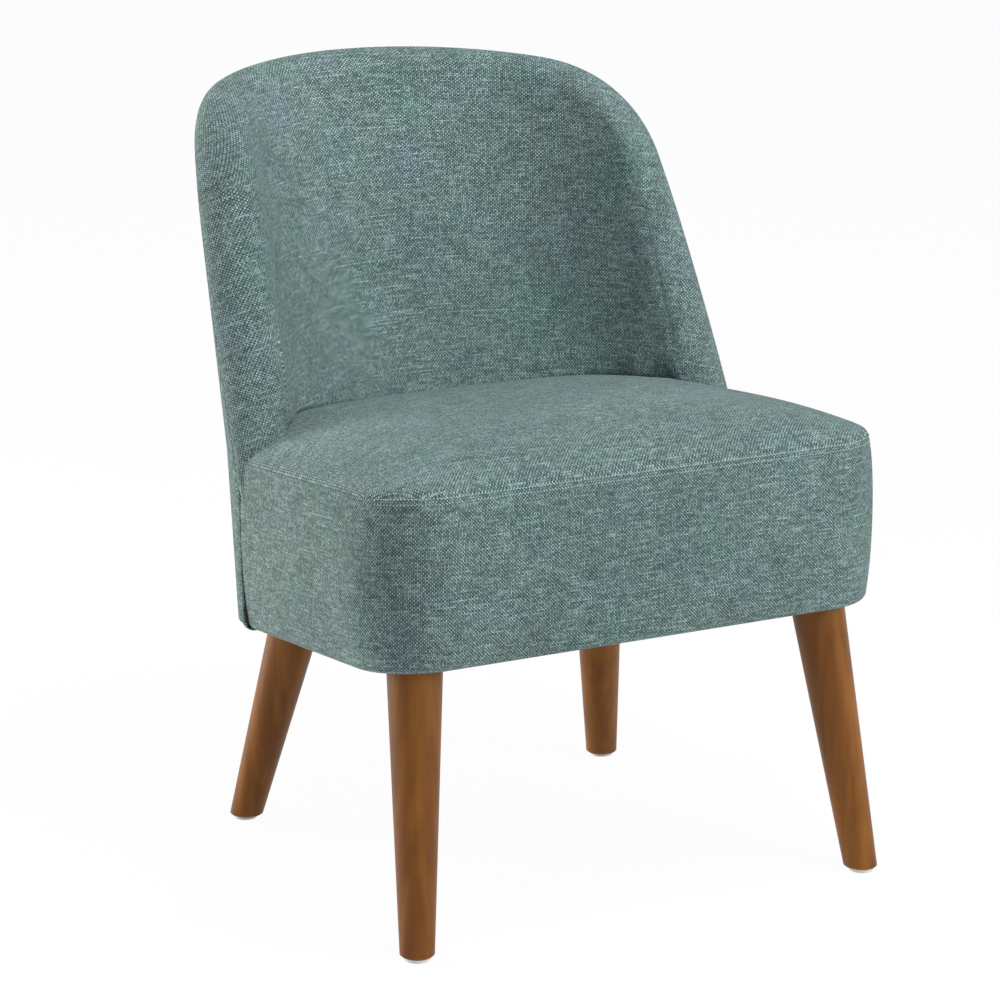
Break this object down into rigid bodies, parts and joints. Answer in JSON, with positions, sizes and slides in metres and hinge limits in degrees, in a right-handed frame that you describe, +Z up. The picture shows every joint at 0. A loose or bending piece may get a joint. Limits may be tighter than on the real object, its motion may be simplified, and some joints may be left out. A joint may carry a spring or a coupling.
{
  "type": "armless lounge chair",
  "caption": "Armless barrel-back lounge chair with a boxed sprung seat, a wrap-round padded back in teal woven fabric and splayed round tapered wooden legs.",
  "frame": {"origin": "on the floor, at the centre of the chair's bounding box in plan", "axes": "+Z up, the chair faces -Y, +X is at the right of someone who looks at its front"},
  "size_m": [0.5578, 0.6207, 0.7535],
  "materials": {
    "teal_fabric": "woven chenille",
    "wadding": "polyester fibre fill",
    "foam": "open cell foam",
    "felt": "needled felt",
    "dust_cloth": "spunbonded cloth",
    "fibre_board": "plain",
    "webbing": "woven elastic",
    "spring_wire": "drawn wire",
    "zinc_steel": "zinc plated",
    "stained_wood": "stained, satin lacquer",
    "frame_timber": "sawn and bent plywood",
    "glide_plastic": "plain"
  },
  "bodies": {
    "root": {"back_foam": "foam", "back_lower_rail_centre": "frame_timber", "back_lower_rail_left": "frame_timber", "back_lower_rail_right": "frame_timber", "back_post_left": "frame_timber", "back_post_right": "frame_timber", "back_tack_strip": "fibre_board", "back_top_rail": "frame_timber", "back_upright_left": "frame_timber", "back_upright_right": "frame_timber", "back_wadding": "wadding", "back_webbing_1": "webbing", "back_webbing_2": "webbing", "back_webbing_3": "webbing", "back_webbing_4": "webbing", "back_wing_rail_left": "frame_timber", "back_wing_rail_right": "frame_timber", "corner_block_screws": "zinc_steel", "dust_cover": "dust_cloth", "dust_cover_staples": "zinc_steel", "frame_dowels": "frame_timber", "front_corner_block_left": "frame_timber", "front_corner_block_right": "frame_timber", "front_glide_left": "glide_plastic", "front_glide_right": "glide_plastic", "front_leg_left": "stained_wood", "front_leg_right": "stained_wood", "glide_nails": "zinc_steel", "inside_back_cover": "teal_fabric", "leg_bolts": "zinc_steel", "leg_inserts": "zinc_steel", "outside_back_board": "fibre_board", "outside_back_cover": "teal_fabric", "rear_corner_block_left": "frame_timber", "rear_corner_block_right": "frame_timber", "rear_glide_left": "glide_plastic", "rear_glide_right": "glide_plastic", "rear_leg_left": "stained_wood", "rear_leg_right": "stained_wood", "seat_boxing": "teal_fabric", "seat_foam": "foam", "seat_front_rail": "frame_timber", "seat_rear_rail": "frame_timber", "seat_side_rail_left": "frame_timber", "seat_side_rail_right": "frame_timber", "seat_top_cover": "teal_fabric", "seat_wadding": "wadding", "spring_clips": "zinc_steel", "spring_pad": "felt", "zigzag_spring_1": "spring_wire", "zigzag_spring_2": "spring_wire", "zigzag_spring_3": "spring_wire", "zigzag_spring_4": "spring_wire", "zigzag_spring_5": "spring_wire"}
  },
  "joints": []
}
